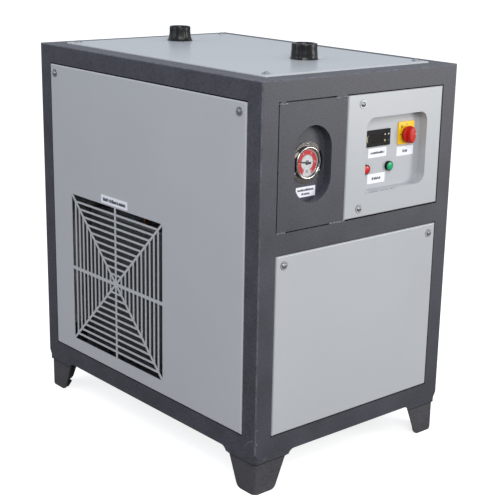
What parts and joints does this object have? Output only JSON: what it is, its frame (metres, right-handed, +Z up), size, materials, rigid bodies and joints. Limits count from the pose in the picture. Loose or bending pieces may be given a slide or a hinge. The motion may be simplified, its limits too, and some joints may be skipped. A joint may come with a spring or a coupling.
{
  "type": "refrigerated air dryer",
  "caption": "Free-standing sheet-metal cabinet that chills and dries compressed air, with a hinged control door, dew-point gauge, web grilles and top pipe stubs.",
  "frame": {"origin": "on the floor, under the middle of the cabinet", "axes": "+X along the front from left to right as seen facing it, +Y from the front to the rear, +Z up"},
  "size_m": [0.573, 0.8175, 0.897],
  "materials": {
    "frame_coat": "dark grey fine-textured powder coat",
    "foot_coat": "dark grey powder coat",
    "galvanised": "dull galvanised sheet",
    "panel_coat": "light grey semi-gloss powder coat",
    "zinc": "bright zinc plate",
    "steel": "satin steel",
    "chrome": "polished chrome",
    "black_plastic": "black satin plastic",
    "display": "dark glossy display window",
    "key_plastic": "pale plastic",
    "yellow_plastic": "yellow plastic",
    "red_plastic": "red plastic",
    "red_glaze": "red lens",
    "green_glaze": "green lens",
    "label_film": "white film",
    "dial_white": "white printed dial",
    "pointer_black": "black",
    "gauge_glass": "clear window",
    "fin_aluminium": "plain aluminium",
    "motor_coat": "black",
    "compressor_coat": "semi-gloss black",
    "grommet_rubber": "black rubber",
    "foam_rubber": "black foam insulation",
    "drier_coat": "green",
    "copper": "bare copper tube",
    "brass": "plain brass",
    "pipe_steel": "steel tube",
    "black_film": "black plastic film"
  },
  "bodies": {
    "cabinet": {"corner_posts": "frame_coat", "top_rails": "frame_coat", "bottom_rails": "frame_coat", "front_mid_rail": "frame_coat", "front_mullion": "frame_coat", "gauge_plate": "frame_coat", "feet": "foot_coat", "base_plate": "galvanised", "left_side_panel": "panel_coat", "right_side_panel": "panel_coat", "rear_panel": "panel_coat", "front_lower_panel": "panel_coat", "top_panel": "panel_coat", "panel_screws": "zinc", "panel_washers": "zinc", "cabinet_labels": "label_film", "gauge_case": "steel", "gauge_bezel": "chrome", "gauge_dial": "dial_white", "gauge_glass": "gauge_glass", "gauge_screws": "zinc", "condenser_coil": "fin_aluminium", "condenser_frame": "galvanised", "fan_shroud": "galvanised", "fan_motor": "motor_coat", "compressor": "compressor_coat", "compressor_mounts": "grommet_rubber", "heat_exchanger": "foam_rubber", "exchanger_stand": "galvanised", "moisture_separator": "galvanised", "filter_drier": "drier_coat", "refrigerant_lines": "copper", "air_pipes": "pipe_steel", "pipe_sleeves": "black_film", "strainer_valve": "brass", "auto_drain": "black_plastic", "drain_outlet": "brass", "cable_gland": "black_plastic"},
    "fan": {"fan_rotor": "fin_aluminium"},
    "pointer": {"gauge_pointer": "pointer_black"},
    "door": {"control_door": "panel_coat", "hinge_pins": "steel", "door_screws": "zinc", "controller": "black_plastic", "controller_window": "display", "isolator_plate": "yellow_plastic", "isolator_body": "black_plastic", "lamp_bodies": "black_plastic", "red_lens": "red_glaze", "green_lens": "green_glaze", "door_labels": "label_film"},
    "switch_knob": {"isolator_knob": "red_plastic"},
    "key_1": {"controller_key_1": "black_plastic"},
    "key_2": {"controller_key_2": "black_plastic"},
    "key_3": {"controller_key_3": "black_plastic"},
    "key_4": {"controller_key_4": "black_plastic"},
    "lever": {"strainer_lever": "red_plastic"},
    "knob_on": {"timer_knobs_on": "key_plastic"},
    "knob_off": {"timer_knobs_off": "key_plastic"},
    "button": {"test_button": "red_plastic"}
  },
  "joints": [
    {"name": "control_door_swing", "type": "hinge", "parent": "cabinet", "child": "door", "pos_m": [0.2312, -0.3966, 0.687], "axis": [0, 0, 1], "range_deg": [0, 100]},
    {"name": "isolator_knob_turn", "type": "hinge", "parent": "door", "child": "switch_knob", "pos_m": [0.1455, -0.39, 0.7165], "axis": [0, 1, 0], "range_deg": [0, 90]},
    {"name": "gauge_pointer_turn", "type": "hinge", "parent": "cabinet", "child": "pointer", "pos_m": [-0.143, -0.384, 0.687], "axis": [0, 1, 0], "range_deg": [-60, 210]},
    {"name": "fan_spin", "type": "hinge", "parent": "cabinet", "child": "fan", "pos_m": [-0.141, 0.08, 0.3151], "axis": [1, 0, 0], "continuous": true},
    {"name": "strainer_lever_turn", "type": "hinge", "parent": "cabinet", "child": "lever", "pos_m": [0.19, 0.322, 0.185], "axis": [0, 0, 1], "range_deg": [-90, 0]},
    {"name": "on_time_knob_turn", "type": "hinge", "parent": "cabinet", "child": "knob_on", "pos_m": [0.178, 0.356, 0.25], "axis": [0, 0, 1], "range_deg": [0, 270]},
    {"name": "off_time_knob_turn", "type": "hinge", "parent": "cabinet", "child": "knob_off", "pos_m": [0.202, 0.356, 0.25], "axis": [0, 0, 1], "range_deg": [0, 270]},
    {"name": "test_button_press", "type": "slide", "parent": "cabinet", "child": "button", "axis": [0, 0, -1], "range_m": [0, 0.0018], "stiffness_N_per_m": 300, "springref_m": -0.001},
    {"name": "key_1_press", "type": "slide", "parent": "door", "child": "key_1", "axis": [0, 1, 0], "range_m": [0, 0.0005], "stiffness_N_per_m": 600, "springref_m": -0.0004},
    {"name": "key_2_press", "type": "slide", "parent": "door", "child": "key_2", "axis": [0, 1, 0], "range_m": [0, 0.0005], "stiffness_N_per_m": 600, "springref_m": -0.0004},
    {"name": "key_3_press", "type": "slide", "parent": "door", "child": "key_3", "axis": [0, 1, 0], "range_m": [0, 0.0005], "stiffness_N_per_m": 600, "springref_m": -0.0004},
    {"name": "key_4_press", "type": "slide", "parent": "door", "child": "key_4", "axis": [0, 1, 0], "range_m": [0, 0.0005], "stiffness_N_per_m": 600, "springref_m": -0.0004}
  ]
}
